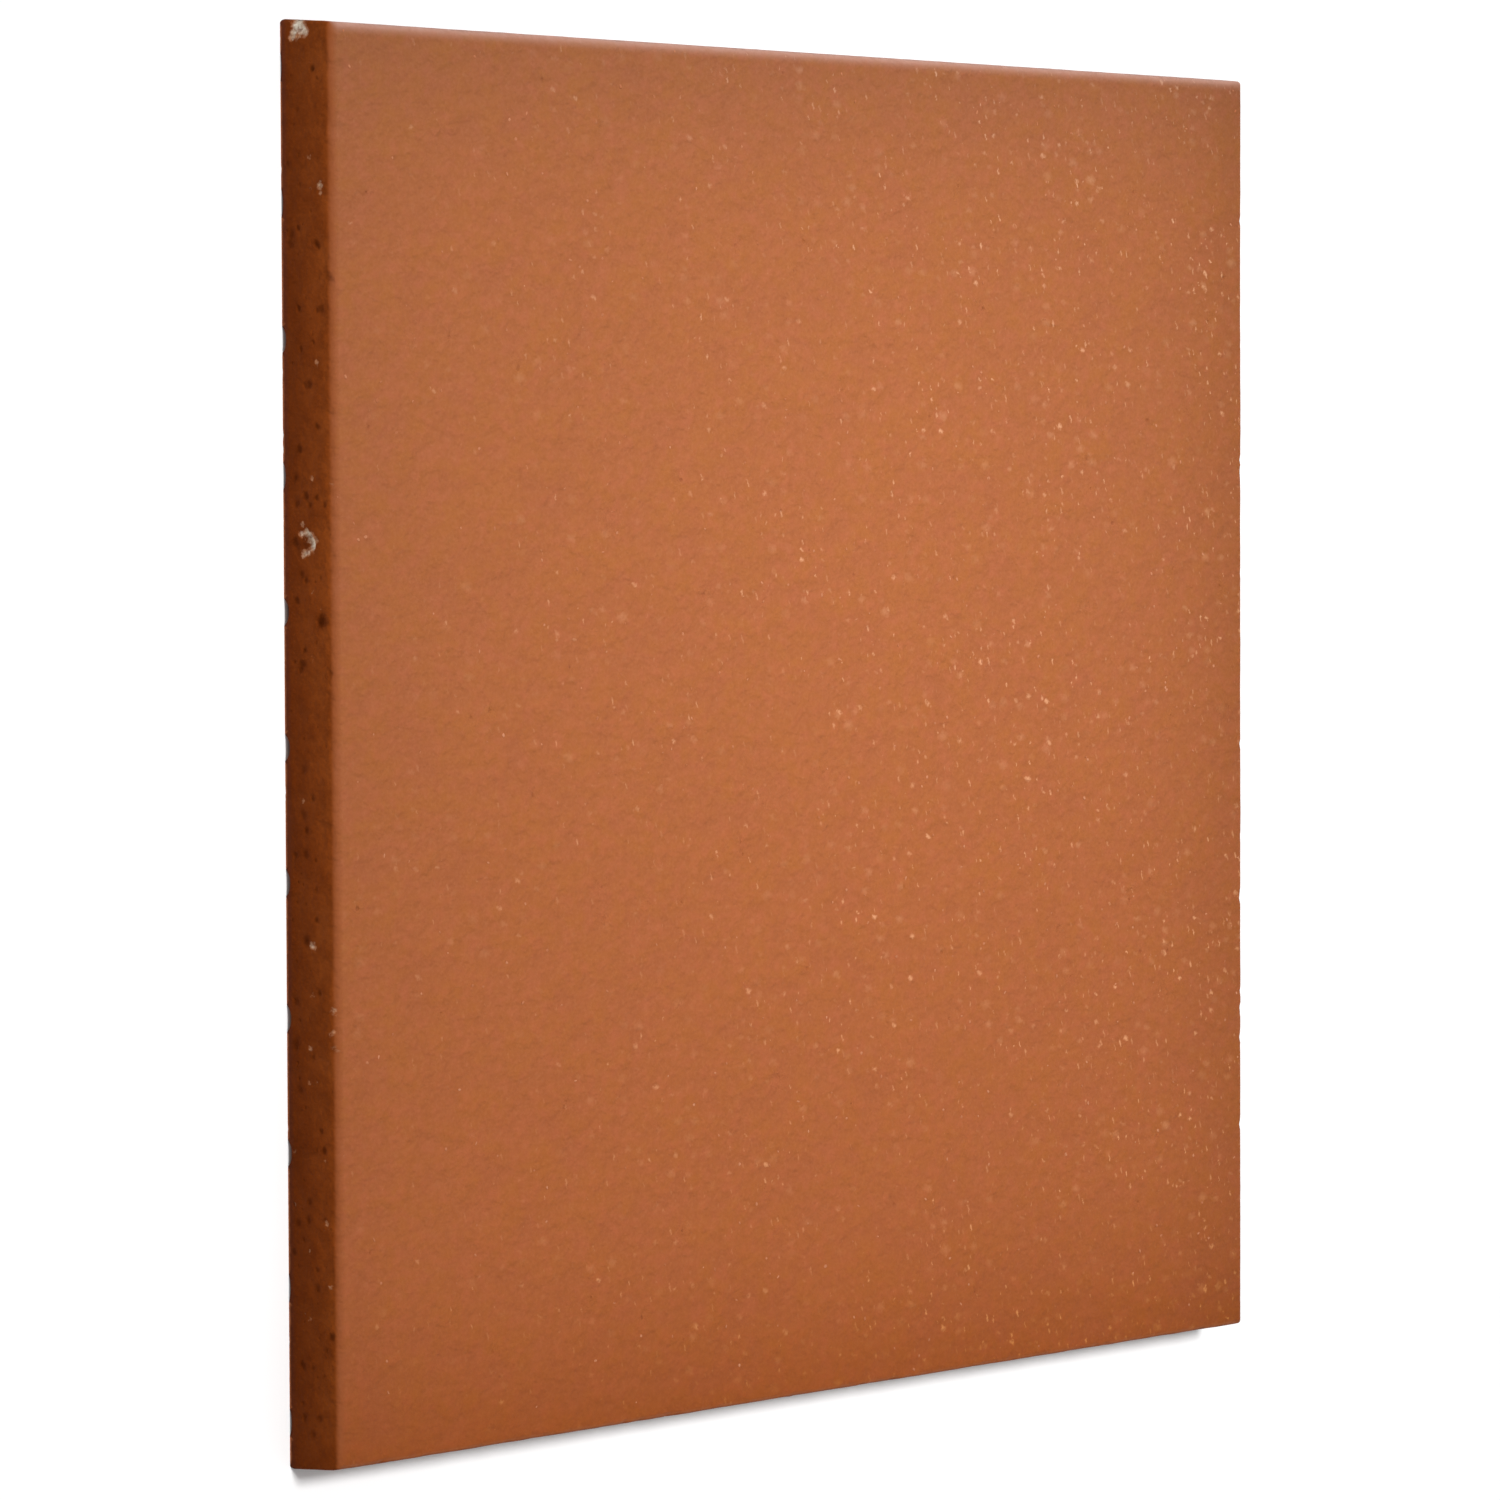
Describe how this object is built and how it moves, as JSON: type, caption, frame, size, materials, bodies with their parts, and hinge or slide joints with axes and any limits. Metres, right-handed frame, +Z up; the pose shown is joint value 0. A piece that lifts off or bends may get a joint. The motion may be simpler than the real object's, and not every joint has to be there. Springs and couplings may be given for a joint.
{
  "type": "split floor tile",
  "caption": "Square unglazed terracotta split floor tile with an eased walking face and parallel rounded keying grooves along its back for bedding mortar.",
  "frame": {"origin": "middle of the tile's back, on the plane of the lands that it rests on", "axes": "+Z up, out of the walking face; X along the keying grooves, the way the clay was extruded; Y across them"},
  "size_m": [0.24, 0.242, 0.012],
  "materials": {
    "fired_clay": "unglazed matt fired clay"
  },
  "bodies": {
    "root": {"split_tile": "fired_clay"}
  },
  "joints": []
}
